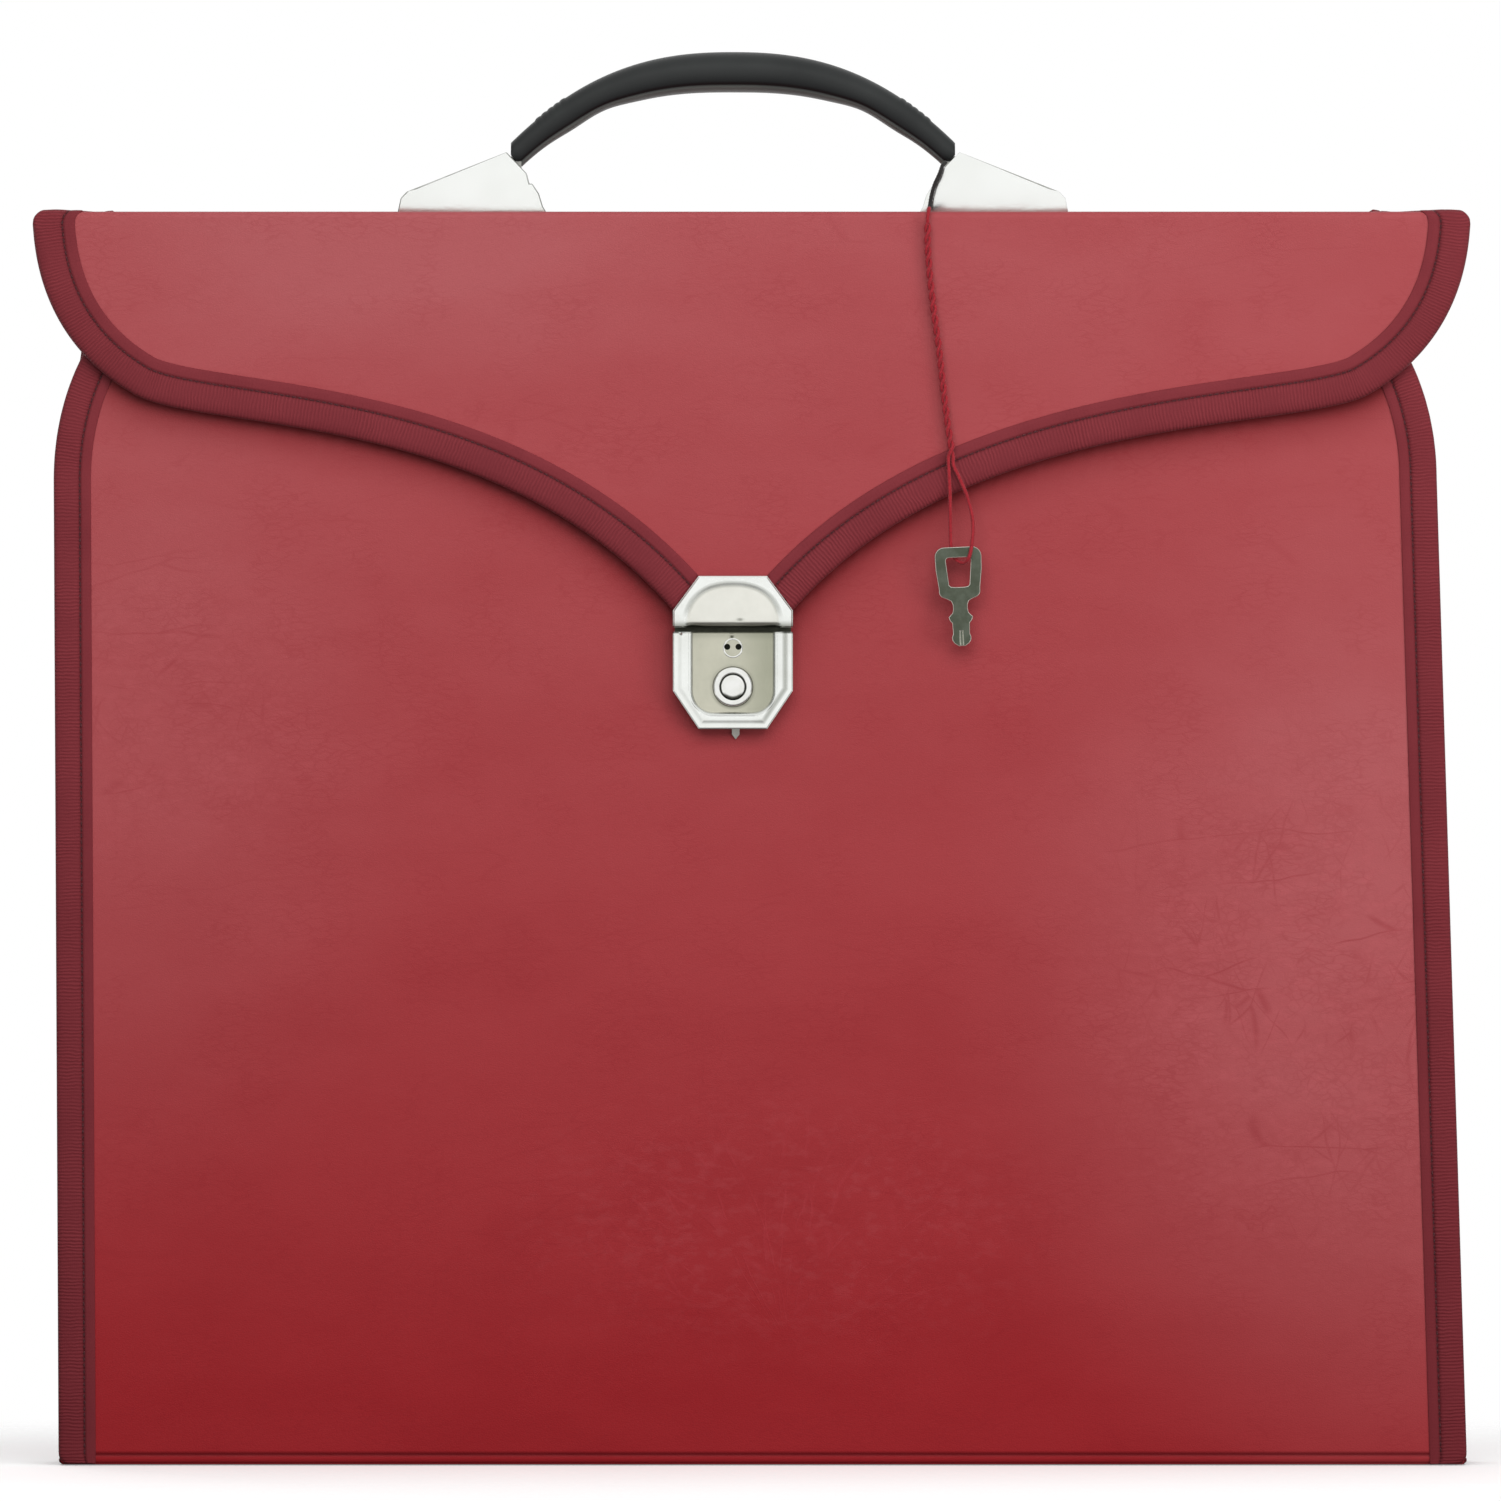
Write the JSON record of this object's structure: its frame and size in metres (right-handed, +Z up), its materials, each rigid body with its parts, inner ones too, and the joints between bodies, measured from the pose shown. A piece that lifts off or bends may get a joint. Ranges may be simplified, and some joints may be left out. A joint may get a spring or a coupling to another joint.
{
  "type": "apron case",
  "caption": "Flat upright case of leathercloth over board with bound edges, a curved flap closed by a push-button lock, a tilting handle and a key on a thread.",
  "frame": {"origin": "middle of the box around the case, at the level of the base it stands on, with the hanging key left out", "axes": "+X to the right seen from the front, +Y to the back so that the flap and the lock face -Y, +Z up to the handle"},
  "size_m": [0.4084, 0.0499, 0.402],
  "materials": {
    "leathercloth": "grained, slight sheen",
    "binding_tape": "ribbed tape",
    "millboard": "matte",
    "lining": "matte",
    "nickel_plate": "satin nickel plate",
    "steel": "pressed sheet",
    "grip_plastic": "satin black",
    "thread_red": "twisted thread",
    "thread_dark": "twisted thread"
  },
  "bodies": {
    "case": {"front_board": "millboard", "front_cover": "leathercloth", "front_lining": "lining", "front_binding": "binding_tape", "back_board": "millboard", "back_cover": "leathercloth", "back_lining": "lining", "back_binding_left": "binding_tape", "back_binding_right": "binding_tape", "bottom_board": "millboard", "bottom_cover": "leathercloth", "bottom_lining": "lining", "bottom_binding_left": "binding_tape", "bottom_binding_right": "binding_tape", "gusset_left": "leathercloth", "gusset_right": "leathercloth", "lock_base": "steel", "lock_case": "nickel_plate", "lock_back_plate": "steel", "lock_rivets": "steel", "button_bezel": "nickel_plate", "button_spring": "steel", "catch_spring": "steel"},
    "top": {"top_board": "millboard", "top_cover": "leathercloth", "top_lining": "lining", "top_binding_left": "binding_tape", "top_binding_right": "binding_tape", "back_fold_cloth": "leathercloth", "back_fold_tape": "binding_tape", "flap_fold_cloth": "leathercloth", "flap_fold_tape": "binding_tape", "bracket_left": "nickel_plate", "bracket_right": "nickel_plate", "backing_plates": "steel", "thread_upper": "thread_dark", "thread_bend": "thread_dark"},
    "flap": {"flap_board": "millboard", "flap_cover": "leathercloth", "flap_lining": "lining", "flap_binding_left": "binding_tape", "flap_binding_right": "binding_tape", "hasp_plate": "nickel_plate", "hasp_clip": "nickel_plate", "hasp_rivets": "nickel_plate"},
    "handle": {"grip": "grip_plastic", "handle_strip": "steel", "handle_pins": "steel"},
    "button": {"push_button": "nickel_plate"},
    "catch": {"catch_slide": "steel"},
    "key_plug": {"key_plug": "nickel_plate", "lock_cam": "steel"},
    "key_drop": {"thread_pair": "thread_red", "thread_loop": "thread_red", "key": "steel"}
  },
  "joints": [
    {"name": "top_hinge", "type": "hinge", "parent": "case", "child": "top", "pos_m": [0, 0.0237, 0.356], "axis": [-1, 0, 0], "range_deg": [0, 110], "deforming": ["back_fold_cloth", "back_fold_tape"]},
    {"name": "flap_hinge", "type": "hinge", "parent": "top", "child": "flap", "pos_m": [0, -0.021, 0.356], "axis": [-1, 0, 0], "range_deg": [0, 120], "deforming": ["flap_fold_cloth", "flap_fold_tape", "thread_bend"]},
    {"name": "handle_tilt", "type": "hinge", "parent": "top", "child": "handle", "pos_m": [-0.0053, 0.00135, 0.3688], "axis": [1, 0, 0], "range_deg": [-42, 42]},
    {"name": "button_press", "type": "slide", "parent": "case", "child": "button", "axis": [0, 1, 0], "range_m": [0, 0.0022], "stiffness_N_per_m": 400, "springref_m": -0.001, "deforming": ["button_spring"]},
    {"name": "catch_travel", "type": "slide", "parent": "case", "child": "catch", "axis": [0, 0, -1], "range_m": [0, 0.002], "stiffness_N_per_m": 200, "springref_m": -0.001, "deforming": ["catch_spring"]},
    {"name": "key_turn", "type": "hinge", "parent": "case", "child": "key_plug", "pos_m": [-0.0053, -0.0222, 0.232], "axis": [0, 1, 0], "range_deg": [0, 90]},
    {"name": "key_swing", "type": "hinge", "parent": "flap", "child": "key_drop", "pos_m": [0, -0.021, 0.356], "axis": [-1, 0, 0], "range_deg": [0, 60]}
  ],
  "couplings": [
    {"joint": "catch_travel", "follows": "button_press", "ratio": 0.909}
  ]
}
